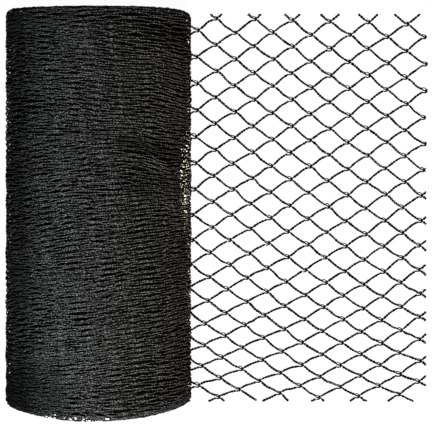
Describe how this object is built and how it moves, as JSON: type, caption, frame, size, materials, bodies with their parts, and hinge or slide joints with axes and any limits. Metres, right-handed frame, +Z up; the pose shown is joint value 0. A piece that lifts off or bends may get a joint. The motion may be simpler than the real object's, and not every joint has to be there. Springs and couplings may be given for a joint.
{
  "type": "bird netting",
  "caption": "Wound roll of black knotted diamond-mesh twine netting lying on its side, with its free end drawn out flat on the floor beside it.",
  "frame": {"origin": "middle of the flat spot under the roll, on the floor", "axes": "+Z up; the roll's axis lies along Y; the free end is drawn out towards +X"},
  "size_m": [0.3588, 0.3443, 0.1532],
  "materials": {
    "net_roll": "matt twisted polyethylene twine, gathered and wound",
    "net_free_end": "matt twisted polyethylene twine, knotted"
  },
  "bodies": {
    "root": {"net_roll": "net_roll", "net_free_end": "net_free_end"}
  },
  "joints": []
}
